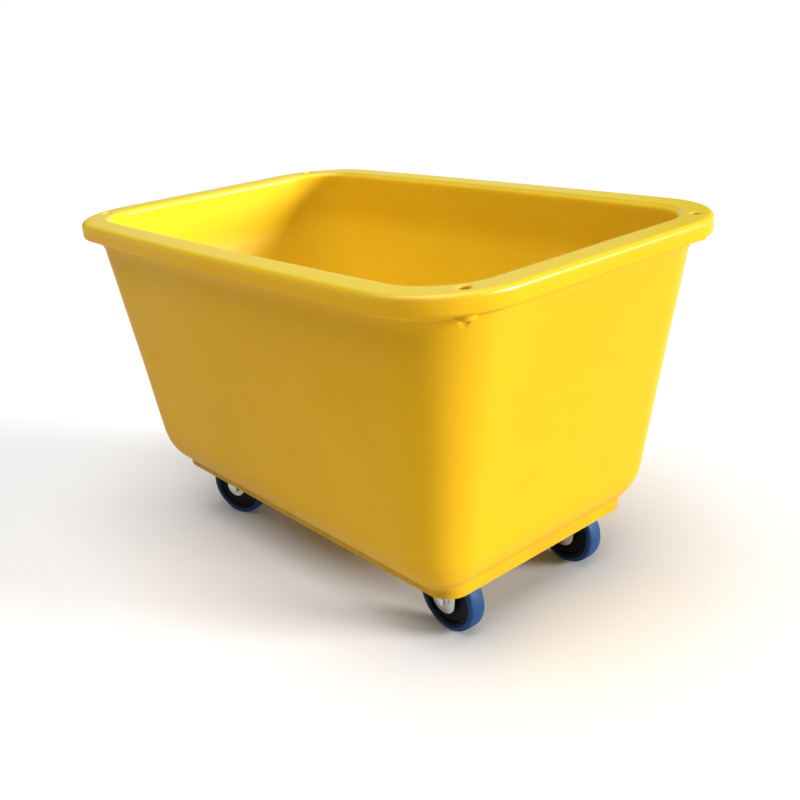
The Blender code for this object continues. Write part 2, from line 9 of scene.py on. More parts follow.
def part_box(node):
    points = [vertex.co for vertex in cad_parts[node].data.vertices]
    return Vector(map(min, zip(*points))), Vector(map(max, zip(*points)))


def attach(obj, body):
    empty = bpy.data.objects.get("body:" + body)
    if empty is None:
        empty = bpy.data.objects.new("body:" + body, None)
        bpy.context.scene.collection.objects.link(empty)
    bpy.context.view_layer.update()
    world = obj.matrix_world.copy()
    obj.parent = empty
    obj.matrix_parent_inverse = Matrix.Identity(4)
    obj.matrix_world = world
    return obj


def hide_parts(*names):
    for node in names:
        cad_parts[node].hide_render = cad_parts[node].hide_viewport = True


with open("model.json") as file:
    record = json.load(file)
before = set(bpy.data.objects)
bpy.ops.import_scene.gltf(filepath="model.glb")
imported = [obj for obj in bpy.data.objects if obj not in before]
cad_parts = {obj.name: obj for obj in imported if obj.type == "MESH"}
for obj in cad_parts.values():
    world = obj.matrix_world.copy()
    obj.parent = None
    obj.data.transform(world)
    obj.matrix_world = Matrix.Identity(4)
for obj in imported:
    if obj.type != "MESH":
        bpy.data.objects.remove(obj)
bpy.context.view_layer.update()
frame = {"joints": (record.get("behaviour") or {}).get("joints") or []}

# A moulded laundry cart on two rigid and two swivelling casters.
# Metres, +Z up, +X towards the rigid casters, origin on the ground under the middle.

JOINTS = {joint["name"]: joint for joint in frame["joints"]}

# ---------------------------------------------------------------- sizes, metres

GAP = 0.0003  # left between pieces that fit together

TUB_LOW, TUB_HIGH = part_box("tub")
SIDE_BOW = 0.010
RIM_HALF_X = TUB_HIGH.x
RIM_HALF_Y = TUB_HIGH.y - SIDE_BOW
RIM_TOP_Z = TUB_HIGH.z
SKIRT_Z = TUB_LOW.z
RIM_CORNER_R = 0.144
RIM_BAND = 0.030
RIM_OVERHANG = 0.0315
RIM_SLOPE_DROP = 0.012
RIM_TOP_EDGE_R = 0.008
RIM_LOWER_EDGE_R = 0.005
RIM_INNER_EDGE_R = 0.010
RIM_INNER_SETBACK = 0.022
RIM_THICK_DEPTH = 0.090
RIM_FILLET_R = 0.009
WALL_TOP_Z = RIM_TOP_Z - RIM_BAND
WALL = 0.007
FOOT_HALF_X = 0.4275
FOOT_HALF_Y = 0.262
FOOT_CORNER_R = 0.076
FOOT_LEVEL_Z = 0.1285
FOOT_ROUND_R = 0.086
FOOT_ROUND_DEPTH = 0.102
WALL_LEAN = math.radians(8)
STEP_Z = 0.112
STEP_BLEND = 0.004
SKIRT_HALF_X = 0.406
SKIRT_HALF_Y = 0.2215
SKIRT_CORNER_R = 0.042
SKIRT_WALL = 0.005
SKIRT_EDGE_R = 0.002
SKIRT_INNER_R = 0.004  # where the skirt meets the underside of the floor
LEAST_CORNER_R = 0.01
FLOOR_UNDER_Z = 0.150
FLOOR_TOP_Z = FLOOR_UNDER_Z + WALL
FLOOR_ROUND_R = 0.045
HOLE_ANGLE = math.radians(30)
HOLE_INSET = 0.026
HOLE_R = 0.009
HOLE_MOUTH_R = 0.003
HOLE_FOOT_R = 0.0015
HOLE_BOSS_R = 0.016
HOLE_BOSS_DROP = 0.011
HOLE_BOSS_EDGE_R = 0.003
MOULD_WAVE = 0.0007  # slow waviness left in the walls by the mould
WAVE_CLEAR = 0.02  # kept free of it next to the rim and the step
WAVE_FADE = 0.05

WHEEL_R = 0.0625
TREAD_WIDTH = 0.032
CORE_R = 0.0522
CORE_WIDTH = 0.031
HUB_R = 0.0150
HUB_LENGTH = 0.0352
SLEEVE_R = 0.0085
AXLE_R = 0.0060
LEG_THICK = 0.0025
LEG_INNER = 0.0180
RIGID_LEG_END_R = 0.0262
RIGID_LEG_TOP = 0.040
SWIVEL_LEG_END_R = 0.0205
SWIVEL_LEG_TOP = 0.024
SWIVEL_LEG_SHIFT = -0.002
TRAIL = 0.022
PLATE_SIZE = (0.100, 0.074)
PLATE_THICK = 0.003
PLATE_CORNER_R = 0.008
PLATE_BOLT_X = 0.039
PLATE_BOLT_Y = 0.027
PLATE_NUT_R = 0.0075
PLATE_TOP_Z = FLOOR_UNDER_Z - GAP
CROWN_R = 0.030
CROWN_THICK = 0.0035
CROWN_TOP_Z = 0.1335
RACE_R = 0.0270
RACE_TOP_Z = 0.1395
KING_PIN_R = 0.0060
NUT_R = 0.0108
NUT_THICK = 0.0080
WASHER_R = 0.0125
WASHER_THICK = 0.0020
FLOOR_BOLT_R = 0.0040
FLOOR_BOLT_LENGTH = 0.0185

# ---------------------------------------------------------------- small helpers


def link(obj):
    bpy.context.scene.collection.objects.link(obj)
    return obj


def mesh_from(bm, name):
    bmesh.ops.recalc_face_normals(bm, faces=bm.faces)
    mesh = bpy.data.meshes.new(name)
    bm.to_mesh(mesh)
    bm.free()
    return mesh


def baked(obj):
    """The object's mesh with its modifiers applied. The object is removed."""
    bpy.context.view_layer.update()
    graph = bpy.context.evaluated_depsgraph_get()
    mesh = bpy.data.meshes.new_from_object(obj.evaluated_get(graph))
    bm = bmesh.new()
    bm.from_mesh(mesh)
    bmesh.ops.remove_doubles(bm, verts=bm.verts, dist=1e-6)
    bm.to_mesh(mesh)
    bm.free()
    bpy.data.objects.remove(obj, do_unlink=True)
    return mesh


def combine(base, tools, operation):
    """The base mesh joined with, or cut by, each mesh in turn."""
    body = link(bpy.data.objects.new("body", base))
    helpers = []
    for mesh in tools:
        helper = link(bpy.data.objects.new("tool", mesh))
        modifier = body.modifiers.new("boolean", "BOOLEAN")
        modifier.operation = operation
        modifier.solver = "EXACT"
        modifier.object = helper
        helpers.append(helper)
    result = baked(body)
    for helper in helpers:
        bpy.data.objects.remove(helper, do_unlink=True)
    return result


def bevelled(mesh, width, segments=2, degrees=35):
    obj = link(bpy.data.objects.new("bevelled", mesh))
    modifier = obj.modifiers.new("bevel", "BEVEL")
    modifier.width = width
    modifier.segments = segments
    modifier.limit_method = "ANGLE"
    modifier.angle_limit = math.radians(degrees)
    return baked(obj)


def smooth(mesh, degrees=35):
    mesh.shade_smooth()
    mesh.set_sharp_from_angle(angle=math.radians(degrees))
    return mesh


def moved(mesh, x=0.0, y=0.0, z=0.0):
    copy = mesh.copy()
    copy.transform(Matrix.Translation((x, y, z)))
    return copy


def arc(centre, radius, start, end, steps):
    """Points on an arc; the angles are in degrees."""
    angles = [math.radians(start + (end - start) * i / steps) for i in range(steps + 1)]
    return [
        (centre[0] + radius * math.cos(a), centre[1] + radius * math.sin(a)) for a in angles
    ]


def turned(profile, steps=64):
    """A profile of (radius, height) points turned round Z. It closes if it goes round a bore."""
    mesh = bpy.data.meshes.new("turned")
    points = [(radius, 0.0, height) for radius, height in profile]
    mesh.from_pydata(points, [(i, i + 1) for i in range(len(points) - 1)], [])
    obj = link(bpy.data.objects.new("turned", mesh))
    screw = obj.modifiers.new("turn", "SCREW")
    screw.axis = "Z"
    screw.steps = screw.render_steps = steps
    screw.use_merge_vertices = True
    screw.merge_threshold = 0.00001
    mesh = baked(obj)
    bm = bmesh.new()
    bm.from_mesh(mesh)
    return mesh_from(bm, "turned")


def cylinder(radius, low, high, steps=48):
    bm = bmesh.new()
    bmesh.ops.create_cone(
        bm, cap_ends=True, segments=steps, radius1=radius, radius2=radius, depth=high - low
    )
    bmesh.ops.translate(bm, verts=bm.verts, vec=(0, 0, (low + high) / 2))
    return mesh_from(bm, "cylinder")


def flat_plate(outline, thickness):
    """A flat outline in the XY plane, with its thickness centred on that plane."""
    curve = bpy.data.curves.new("plate", "CURVE")
    curve.dimensions = "2D"
    curve.fill_mode = "BOTH"
    curve.extrude = thickness / 2
    spline = curve.splines.new("POLY")
    spline.points.add(len(outline) - 1)
    for point, (x, y) in zip(spline.points, outline):
        point.co = (x, y, 0.0, 1.0)
    spline.use_cyclic_u = True
    return baked(link(bpy.data.objects.new("plate", curve)))


def rounded_rectangle(length, width, radius, steps):
    outline = []
    for quarter, (sx, sy) in enumerate(((1, 1), (-1, 1), (-1, -1), (1, -1))):
        centre = (sx * (length / 2 - radius), sy * (width / 2 - radius))
        outline += arc(centre, radius, 90 * quarter, 90 * quarter + 90, steps)
    return outline


# ---------------------------------------------------------------- materials


class Nodes:
    """A short way to write a material's node tree."""

    def __init__(self, name):
        self.material = bpy.data.materials.new(name)
        self.material.use_nodes = True
        self.tree = self.material.node_tree
        self.shader = self.tree.nodes["Principled BSDF"]
        self.place = self.add("ShaderNodeTexCoord").outputs["Object"]

    def add(self, kind, inputs=None, **settings):
        node = self.tree.nodes.new(kind)
        for key, value in settings.items():
            setattr(node, key, value)
        for key, value in (inputs or {}).items():
            self.feed(node.inputs[key], value)
        return node

    def feed(self, socket, value):
        if isinstance(value, bpy.types.NodeSocket):
            self.tree.links.new(value, socket)
        else:
            socket.default_value = value

    def noise(self, scale, detail=3.0, roughness=0.5, place=None, distortion=0.0):
        inputs = {
            "Vector": place or self.place,
            "Scale": scale,
            "Detail": detail,
            "Roughness": roughness,
            "Distortion": distortion,
        }
        return self.add("ShaderNodeTexNoise", inputs).outputs["Fac"]

    def stretch(self, scale, rotation=(0, 0, 0)):
        inputs = {"Vector": self.place, "Scale": scale, "Rotation": rotation}
        return self.add("ShaderNodeMapping", inputs).outputs["Vector"]

    def between(self, value, low, high, to_low=0.0, to_high=1.0):
        inputs = {
            "Value": value,
            "From Min": low,
            "From Max": high,
            "To Min": to_low,
            "To Max": to_high,
        }
        return self.add("ShaderNodeMapRange", inputs).outputs["Result"]

    def math(self, operation, first, second=0.5):
        return self.add(
            "ShaderNodeMath", {0: first, 1: second}, operation=operation
        ).outputs[0]

    def mix(self, share, first, second):
        return self.add(
            "ShaderNodeMix", {0: share, 6: first, 7: second}, data_type="RGBA"
        ).outputs[2]

    def bump(self, height, strength, distance, after=None):
        inputs = {"Height": height, "Strength": strength, "Distance": distance}
        if after is not None:
            inputs["Normal"] = after
        return self.add("ShaderNodeBump", inputs).outputs["Normal"]

    def finish(self, **inputs):
        for key, value in inputs.items():
            self.feed(self.shader.inputs[key.replace("_", " ")], value)
        return self.material


def rgb(red, green, blue):
    return (red, green, blue, 1.0)


def scratches(nodes, scale, angle, width):
    """Thin straight marks, here and there: 1 on a mark and 0 elsewhere."""
    place = nodes.stretch((scale, scale * 0.06, scale * 0.06), (angle, angle * 0.7, angle))
    lines = nodes.noise(1.0, 1.0, 0.4, place)
    thin = nodes.between(nodes.math("ABSOLUTE", nodes.math("SUBTRACT", lines, 0.5)), 0, width, 1, 0)
    patches = nodes.between(nodes.noise(5.0, 2.0), 0.52, 0.64)
    return nodes.math("MULTIPLY", thin, patches)


def polyethylene():
    """Moulded yellow plastic: clouded and faintly pebbled, with painted shade low down, painted light
    on the inner and level faces, and glossier on top.
    """
    n = Nodes("moulded_polyethylene")
    normal = n.add("ShaderNodeNewGeometry").outputs["Normal"]
    across = n.add("ShaderNodeSeparateXYZ", {0: normal})
    place = n.add("ShaderNodeSeparateXYZ", {0: n.place})
    height = place.outputs["Z"]
    # Faces that look towards the middle are the tub's inner faces. It is given a lighter, more lemon
    # colour than the outside, chosen to match the photo's tones. They are given a lighter, more lemon
    # colour than the outer faces: painted light, standing in for the light bounced round within the
    # tub.
    outward = n.math(
        "ADD",
        n.math("MULTIPLY", place.outputs["X"], across.outputs["X"]),
        n.math("MULTIPLY", place.outputs["Y"], across.outputs["Y"]),
    )
    inside_painted_light = n.between(outward, -0.02, 0.0, 1.0, 0.0)
    cloud = n.between(n.noise(3.2, 4.0, 0.55), 0.3, 0.7)
    outer = n.mix(cloud, rgb(0.630, 0.345, 0.008), rgb(0.660, 0.372, 0.010))
    inner = n.mix(cloud, rgb(0.830, 0.555, 0.020), rgb(0.860, 0.585, 0.026))
    colour = n.mix(inside_painted_light, outer, inner)
    # Level faces, such as the rim's top and the floor, have their own yellower tone: painted light,
    # standing in for how the light falls on upward faces.
    level = n.between(across.outputs["Z"], 0.5, 0.9)
    colour = n.mix(level, colour, rgb(0.540, 0.400, 0.013))
    fleck = n.between(n.noise(420.0, 2.0, 0.6), 0.35, 0.75, 0.0, 0.12)
    colour = n.mix(fleck, colour, rgb(0.58, 0.31, 0.008))
    # Painted shade: the colour darkens towards the skirt's bottom edge, mottled by noise, standing in
    # for the shade along the skirt.
    low_shade_band = n.between(height, SKIRT_Z, SKIRT_Z + 0.05, 1.0, 0.0)
    skirt_painted_shade = n.math("MULTIPLY", low_shade_band, n.between(n.noise(18.0, 5.0, 0.65), 0.35, 0.75, 0.1, 0.6))
    colour = n.mix(skirt_painted_shade, colour, rgb(0.30, 0.16, 0.02))
    scuffs = n.between(n.noise(26.0, 6.0, 0.7, n.stretch((1.0, 1.0, 0.35))), 0.56, 0.78)
    rough = n.between(n.noise(9.0, 5.0, 0.6), 0.3, 0.7, 0.30, 0.42)
    rough = n.math("ADD", rough, n.math("MULTIPLY", scuffs, 0.16))
    peel = n.bump(n.noise(260.0, 2.0, 0.5), 0.10, 0.0006)
    peel = n.bump(n.noise(34.0, 3.0, 0.5), 0.12, 0.002, peel)
    # Faces that look upwards near the rim are glossier, as they look in the photo.
    upwards = n.between(across.outputs["Z"], 0.02, 0.22)
    glossy = n.math("MULTIPLY", upwards, n.between(height, RIM_TOP_Z - 0.22, RIM_TOP_Z - 0.05))
    glossy = n.math("MULTIPLY", glossy, n.between(level, 0.0, 1.0, 1.0, 0.6))
    glossy = n.math("MULTIPLY", glossy, n.between(n.noise(6.0, 4.0, 0.6), 0.35, 0.6, 0.5, 1.0))
    n.shader.inputs["Coat Roughness"].default_value = 0.36
    n.shader.inputs["Subsurface Radius"].default_value = (1.0, 0.45, 0.05)
    return n.finish(
        Base_Color=colour,
        Roughness=rough,
        Normal=peel,
        Specular_IOR_Level=0.04,
        Coat_Weight=glossy,
        Subsurface_Weight=0.06,
        Subsurface_Scale=0.006,
    )


def tread_rubber():
    """Matt blue rubber with a little dust."""
    n = Nodes("blue_tread_rubber")
    cloud = n.noise(60.0, 4.0, 0.6)
    dust = n.between(n.noise(220.0, 4.0, 0.7), 0.52, 0.78, 0.0, 0.35)
    colour = n.mix(n.between(cloud, 0.3, 0.7), rgb(0.006, 0.040, 0.135), rgb(0.008, 0.050, 0.160))
    colour = n.mix(dust, colour, rgb(0.030, 0.060, 0.120))
    rough = n.between(n.noise(90.0, 4.0, 0.6), 0.3, 0.7, 0.42, 0.62)
    grain = n.bump(n.noise(900.0, 3.0, 0.6), 0.25, 0.0003)
    return n.finish(Base_Color=colour, Roughness=rough, Normal=grain, Specular_IOR_Level=0.18)


def black_nylon():
    """Moulded black wheel centre, slightly uneven in gloss."""
    n = Nodes("black_nylon")
    cloud = n.noise(80.0, 4.0, 0.6)
    colour = n.mix(n.between(cloud, 0.35, 0.7), rgb(0.0022, 0.0026, 0.003), rgb(0.004, 0.0045, 0.005))
    rough = n.between(n.noise(140.0, 4.0, 0.6), 0.3, 0.7, 0.38, 0.55)
    grain = n.bump(n.noise(1400.0, 2.0, 0.5), 0.2, 0.0002)
    return n.finish(Base_Color=colour, Roughness=rough, Normal=grain, Specular_IOR_Level=0.12)


def zinc(name, warm, cool, low, high):
    """Zinc plating: two tones in soft patches, fine crystals and faint handling marks."""
    n = Nodes(name)
    crystals = n.add("ShaderNodeTexVoronoi", {"Vector": n.place, "Scale": 320.0})
    patches = n.between(n.noise(55.0, 4.0, 0.6), 0.35, 0.65)
    marks = scratches(n, 300.0, 0.5, 0.02)
    colour = n.mix(patches, rgb(*warm), rgb(*cool))
    bright = n.between(crystals.outputs["Distance"], 0.0, 0.8, 0.0, 0.12)
    colour = n.mix(bright, colour, rgb(0.85, 0.84, 0.80))
    rough = n.between(n.noise(120.0, 4.0, 0.6), 0.3, 0.7, low, high)
    rough = n.math("ADD", rough, n.math("MULTIPLY", marks, 0.12))
    grain = n.bump(n.noise(700.0, 3.0, 0.6), 0.12, 0.0003)
    return n.finish(Base_Color=colour, Roughness=rough, Normal=grain, Metallic=1.0)


def floor_paint():
    """Plain pale studio floor."""
    n = Nodes("pale_floor")
    colour = n.mix(n.noise(0.8, 2.0), rgb(0.66, 0.66, 0.66), rgb(0.68, 0.68, 0.68))
    return n.finish(Base_Color=colour, Roughness=0.9)


MATERIALS = {
    "yellow_polyethylene": polyethylene(),
    "blue_rubber": tread_rubber(),
    "black_plastic": black_nylon(),
    "zinc_plate": zinc("zinc_plating", (0.66, 0.62, 0.53), (0.58, 0.60, 0.62), 0.26, 0.40),
    "bright_steel": zinc("bright_steel", (0.62, 0.61, 0.59), (0.55, 0.56, 0.58), 0.18, 0.30),
}


def piece(name, mesh, slot, body, node, place=None):
    """One shown piece: it rides on a body and stands for one CAD node."""
    mesh = mesh.copy()
    mesh.name = name
    mesh.materials.clear()
    mesh.materials.append(MATERIALS[slot])
    obj = link(bpy.data.objects.new(name, mesh))
    obj.matrix_world = place or Matrix.Identity(4)
    bpy.context.view_layer.update()
    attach(obj, body)
    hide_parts(node)
    return obj


# ---------------------------------------------------------------- tub

CORNER_STEPS = 22
LONG_STEPS = 44
SHORT_STEPS = 20


def tub_outline(z):
    """Half length, half width, corner radius and side bow of the wall's outer face at z."""
    share = (WALL_TOP_Z - z) / (WALL_TOP_Z - FOOT_LEVEL_Z)
    top_x = RIM_HALF_X - RIM_OVERHANG
    top_y = RIM_HALF_Y - RIM_OVERHANG
    top_r = RIM_CORNER_R - RIM_OVERHANG
    return (
        top_x + (FOOT_HALF_X - top_x) * share,
        top_y + (FOOT_HALF_Y - top_y) * share,
        top_r + (FOOT_CORNER_R - top_r) * share,
        SIDE_BOW * min(1.0, max(0.0, 1.0 - share)) ** 1.5,
    )


def ring_points(half_x, half_y, radius, bow, z):
    """One level of the tub: a rounded rectangle whose long sides swell out by the bow."""
    points = []
    corners = ((1, 1), (-1, 1), (-1, -1), (1, -1))
    for quarter, (sx, sy) in enumerate(corners):
        centre = (sx * (half_x - radius), sy * (half_y - radius))
        points += arc(centre, radius, 90 * quarter, 90 * quarter + 90, CORNER_STEPS)
        next_x, next_y = corners[(quarter + 1) % 4]
        turn = math.radians(90 * quarter + 90)
        end = Vector((next_x * (half_x - radius), next_y * (half_y - radius)))
        end += radius * Vector((math.cos(turn), math.sin(turn)))
        start = Vector(points[-1])
        steps = LONG_STEPS if quarter % 2 == 0 else SHORT_STEPS
        points += [tuple(start.lerp(end, i / steps)) for i in range(1, steps)]
    level = []
    for x, y in points:
        swell = bow * (1 - (x / half_x) ** 2) * abs(y / half_y) ** 6
        level.append(Vector((x, y + math.copysign(swell, y), z)))
    return level


def offset_ring(z, out, at=None):
    half_x, half_y, radius, bow = tub_outline(z if at is None else at)
    return ring_points(half_x + out, half_y + out, max(radius + out, LEAST_CORNER_R), bow, z)


def skirt_ring(z, inward):
    radius = max(SKIRT_CORNER_R - inward, LEAST_CORNER_R)
    return ring_points(SKIRT_HALF_X - inward, SKIRT_HALF_Y - inward, radius, 0.0, z)


def larger(first, second):
    """The larger of two lengths, with a soft change from one to the other."""
    return (first + second + math.hypot(first - second, STEP_BLEND)) / 2


def foot_ring(z, across, at):
    """A level of the rounding under the wall, down to where the skirt stands out of it."""
    half_x, half_y, radius, bow = tub_outline(at)
    return ring_points(
        larger(half_x + across, SKIRT_HALF_X),
        larger(half_y + across, SKIRT_HALF_Y),
        larger(radius + across, SKIRT_CORNER_R),
        bow * max(0.0, (z - STEP_Z) / FOOT_ROUND_DEPTH),
        z,
    )


def inside_levels():
    """From the middle of the floor, round its edge and up the inner wall."""
    start_z = FLOOR_TOP_Z + FLOOR_ROUND_R
    edge = -FLOOR_ROUND_R - WALL
    levels = [
        offset_ring(FLOOR_TOP_Z, edge - inward, at=start_z) for inward in (0.14, 0.10, 0.06, 0.03)
    ]
    for across, up in arc((-FLOOR_ROUND_R, FLOOR_ROUND_R), FLOOR_ROUND_R, -90, -5, 14):
        levels.append(offset_ring(FLOOR_TOP_Z + up, across - WALL, at=start_z))
    thick_from = WALL_TOP_Z - RIM_THICK_DEPTH
    for i in range(1, 13):
        levels.append(offset_ring(start_z + (thick_from - start_z) * i / 13, -WALL))
    thick_to = RIM_TOP_Z - RIM_INNER_EDGE_R
    for i in range(13):
        share = i / 12
        ease = share * share * (3 - 2 * share)
        z = thick_from + (thick_to - thick_from) * share
        setback = WALL + (RIM_INNER_SETBACK - WALL) * ease
        levels.append(offset_ring(z, -setback, at=min(z, WALL_TOP_Z)))
    return levels


def rim_levels():
    """Over the rim's inner edge, across its top, round the nose and in along its underside."""
    levels = []
    inner = (RIM_INNER_EDGE_R - RIM_INNER_SETBACK, RIM_TOP_Z - RIM_INNER_EDGE_R)
    outer = (RIM_OVERHANG - RIM_TOP_EDGE_R, RIM_TOP_Z - RIM_TOP_EDGE_R)
    lower = (RIM_OVERHANG - RIM_LOWER_EDGE_R, WALL_TOP_Z + RIM_LOWER_EDGE_R)
    path = arc(inner, RIM_INNER_EDGE_R, 180, 90, 7)[1:]
    path += [(inner[0] + (outer[0] - inner[0]) * i / 4, RIM_TOP_Z) for i in (1, 2, 3)]
    path += arc(outer, RIM_TOP_EDGE_R, 90, 0, 7)
    path += [(RIM_OVERHANG, (outer[1] + lower[1]) / 2)]
    path += arc(lower, RIM_LOWER_EDGE_R, 0, -72, 5)
    for across, z in path:
        levels.append(offset_ring(z, across, at=WALL_TOP_Z))
    under_from = path[-1]
    under_to = (RIM_FILLET_R, WALL_TOP_Z - RIM_SLOPE_DROP * 0.62)
    for i in (1, 2):
        across = under_from[0] + (under_to[0] - under_from[0]) * i / 2
        z = under_from[1] + (under_to[1] - under_from[1]) * i / 2
        levels.append(offset_ring(z, across, at=WALL_TOP_Z))
    fillet = (RIM_FILLET_R * 1.25, under_to[1] - RIM_FILLET_R * 1.1)
    for across, z in arc(fillet, RIM_FILLET_R * 1.2, 108, 172, 5)[1:]:
        levels.append(offset_ring(z, across, at=WALL_TOP_Z))
    return levels


def outside_levels():
    """Down the outer wall, round under it to the step, and down, under and up the skirt."""
    levels = []
    foot_top = STEP_Z + FOOT_ROUND_DEPTH
    wall_low = foot_top - FOOT_ROUND_DEPTH * math.sin(WALL_LEAN)
    wall_high = WALL_TOP_Z - RIM_SLOPE_DROP - RIM_FILLET_R * 1.4
    for i in range(17):
        levels.append(offset_ring(wall_high + (wall_low - wall_high) * i / 16, 0.0))
    for cosine, sine in arc((0, 0), 1.0, -math.degrees(WALL_LEAN), -90, 34)[1:]:
        across = FOOT_ROUND_R * (cosine - math.cos(WALL_LEAN))
        levels.append(foot_ring(foot_top + FOOT_ROUND_DEPTH * sine, across, wall_low))
    edge = (SKIRT_EDGE_R, SKIRT_Z + SKIRT_EDGE_R)
    levels.append(skirt_ring((STEP_Z + edge[1]) / 2, 0.0))
    for inward, z in arc(edge, SKIRT_EDGE_R, 180, 270, 4):
        levels.append(skirt_ring(z, inward))
    inner_edge = (SKIRT_WALL - SKIRT_EDGE_R, SKIRT_Z + SKIRT_EDGE_R)
    for inward, z in arc(inner_edge, SKIRT_EDGE_R, 270, 360, 4):
        levels.append(skirt_ring(z, inward))
    corner = (SKIRT_WALL + SKIRT_INNER_R, FLOOR_UNDER_Z - SKIRT_INNER_R)
    for inward, z in arc(corner, SKIRT_INNER_R, 180, 90, 4):
        levels.append(skirt_ring(z, inward))
    levels += [skirt_ring(FLOOR_UNDER_Z, inward) for inward in (0.03, 0.07, 0.12, 0.17)]
    return levels


def mould_wave(point):
    """Slow waviness of a rotationally moulded wall, none at the rim, the step or the skirt."""
    high = min(1.0, max(0.0, (WALL_TOP_Z - WAVE_CLEAR - point.z) / WAVE_FADE))
    low = min(1.0, max(0.0, (point.z - STEP_Z - WAVE_CLEAR) / WAVE_FADE))
    if high * low == 0.0:
        return point
    across = Vector((point.x, point.y, 0)).normalized()
    amount = noise.noise(point * 7.0) + 0.5 * noise.noise(point * 17.0 + Vector((5, 3, 1)))
    return point + across * MOULD_WAVE * amount * high * low


def hole_places():
    """Where the four holes in the rim's corners are, in x and y."""
    reach = RIM_CORNER_R - HOLE_INSET
    x = RIM_HALF_X - RIM_CORNER_R + reach * math.cos(HOLE_ANGLE)
    y = RIM_HALF_Y - RIM_CORNER_R + reach * math.sin(HOLE_ANGLE)
    return [(sx * x, sy * y) for sx in (1, -1) for sy in (1, -1)]


def boss_mesh():
    low = WALL_TOP_Z - HOLE_BOSS_DROP
    edge = HOLE_BOSS_EDGE_R
    profile = [(0.0, RIM_TOP_Z - RIM_BAND / 2), (HOLE_BOSS_R, RIM_TOP_Z - RIM_BAND / 2)]
    profile += arc((HOLE_BOSS_R - edge, low + edge), edge, 0, -90, 4)
    profile.append((0.0, low))
    return turned(profile, 48)


def hole_cutter():
    """A bore whose mouths flare out, so that the cut leaves them rounded."""
    low = WALL_TOP_Z - HOLE_BOSS_DROP
    flare = HOLE_MOUTH_R
    wide = HOLE_R + flare
    profile = [(0.0, RIM_TOP_Z + 0.02), (wide, RIM_TOP_Z + 0.02)]
    profile += arc((wide, RIM_TOP_Z - flare), flare, 90, 180, 6)
    foot = HOLE_R + HOLE_FOOT_R
    profile += arc((foot, low + HOLE_FOOT_R), HOLE_FOOT_R, 180, 270, 3)
    profile += [(foot, low - 0.03), (0.0, low - 0.03)]
    return turned(profile, 48)


def tub_mesh():
    bm = bmesh.new()
    levels = inside_levels() + rim_levels() + outside_levels()
    rings = [[bm.verts.new(mould_wave(point)) for point in level] for level in levels]
    count = len(rings[0])
    for lower, upper in zip(rings, rings[1:]):
        for i in range(count):
            j = (i + 1) % count
            bm.faces.new((lower[i], lower[j], upper[j], upper[i]))
    bm.faces.new(rings[0])
    bm.faces.new(rings[-1])
    mesh = mesh_from(bm, "tub")
    boss = boss_mesh()
    cutter = hole_cutter()
    mesh = combine(mesh, [moved(boss, x, y) for x, y in hole_places()], "UNION")
    mesh = combine(mesh, [moved(cutter, x, y) for x, y in hole_places()], "DIFFERENCE")
    return smooth(mesh, 40)


# ---------------------------------------------------------------- caster pieces


def tread_mesh():
    """Blue ring with a slight crown and rounded shoulders."""
    half = TREAD_WIDTH / 2
    inner = CORE_R + GAP
    shoulder = 0.0055
    crown = 0.0007
    edge = 0.0006
    top = WHEEL_R - crown
    rounding = arc((top - shoulder, half - shoulder), shoulder, 90, 12, 7)
    profile = list(rounding)
    for i in range(1, 12):
        share = i / 12
        y = (half - shoulder) * (1 - 2 * share)
        rise = crown * (1 - (y / (half - shoulder)) ** 2)
        profile.append((top + rise, y))
    profile += [(x, -y) for x, y in reversed(rounding)]
    profile += [(inner + edge, -half), (inner, -half + edge)]
    profile += [(inner, half - edge), (inner + edge, half)]
    profile = [(max(x, inner), y) for x, y in profile]
    return smooth(turned(profile + profile[:1], 96), 40)


def core_mesh():
    """Black wheel centre: lip, dished web, raised hub with a shallow ring round it."""
    lip = CORE_WIDTH / 2
    web = 0.0110
    hub = HUB_LENGTH / 2
    bore = SLEEVE_R + GAP
    side = [(bore, hub - 0.0006), (bore + 0.0006, hub), (HUB_R - 0.0008, hub)]
    side += [(HUB_R, hub - 0.0008), (HUB_R + 0.0010, web + 0.0030)]
    side += arc((HUB_R + 0.0042, web + 0.0030), 0.0030, 180, 270, 4)
    side += [(0.0300, web), (0.0304, web + 0.0005), (0.0316, web + 0.0005), (0.0320, web)]
    side += arc((0.0420, web + 0.0030), 0.0030, 270, 360, 4)
    side += [(0.0456, lip - 0.0008), (0.0464, lip), (CORE_R - 0.0008, lip)]
    side += [(CORE_R, lip - 0.0008)]
    profile = side + [(radius, -height) for radius, height in reversed(side)]
    return smooth(turned(profile + profile[:1], 96), 32)


def sleeve_mesh():
    half = LEG_INNER - GAP
    bore = AXLE_R + GAP
    profile = [(SLEEVE_R, half), (SLEEVE_R, -half), (bore, -half), (bore, half)]
    return smooth(turned(profile + profile[:1], 40))


def hexagon(radius, low, high):
    """A hexagon with its outer corners chamfered, as on a nut."""
    prism = cylinder(radius, low, high, 6)
    flat = radius * math.cos(math.pi / 6)
    drop = (radius - flat) * 0.6
    shape = [(0.0, high + 0.001), (flat - 0.0002, high + 0.001), (flat - 0.0002, high)]
    shape += [(radius + 0.0004, high - drop), (radius + 0.0004, low - 0.001), (0.0, low - 0.001)]
    return combine(prism, [turned(shape, 48)], "INTERSECT")


def axle_bolt_mesh():
    """Head with a pressed washer at +Z, and a threaded shank."""
    face = LEG_INNER + LEG_THICK + GAP
    end = -(face + WASHER_THICK + NUT_THICK + 0.0025)
    head_low = face + WASHER_THICK
    washer = [(0.0, head_low), (WASHER_R - 0.0008, head_low), (WASHER_R, head_low - 0.0007)]
    washer += [(WASHER_R, face), (AXLE_R, face)]
    washer += [(AXLE_R, end + 0.0008), (AXLE_R - 0.0008, end), (0.0, end)]
    head = hexagon(NUT_R, head_low - 0.0005, head_low + NUT_THICK - WASHER_THICK + 0.001)
    return smooth(bevelled(combine(turned(washer, 48), [head], "UNION"), 0.0003), 30)


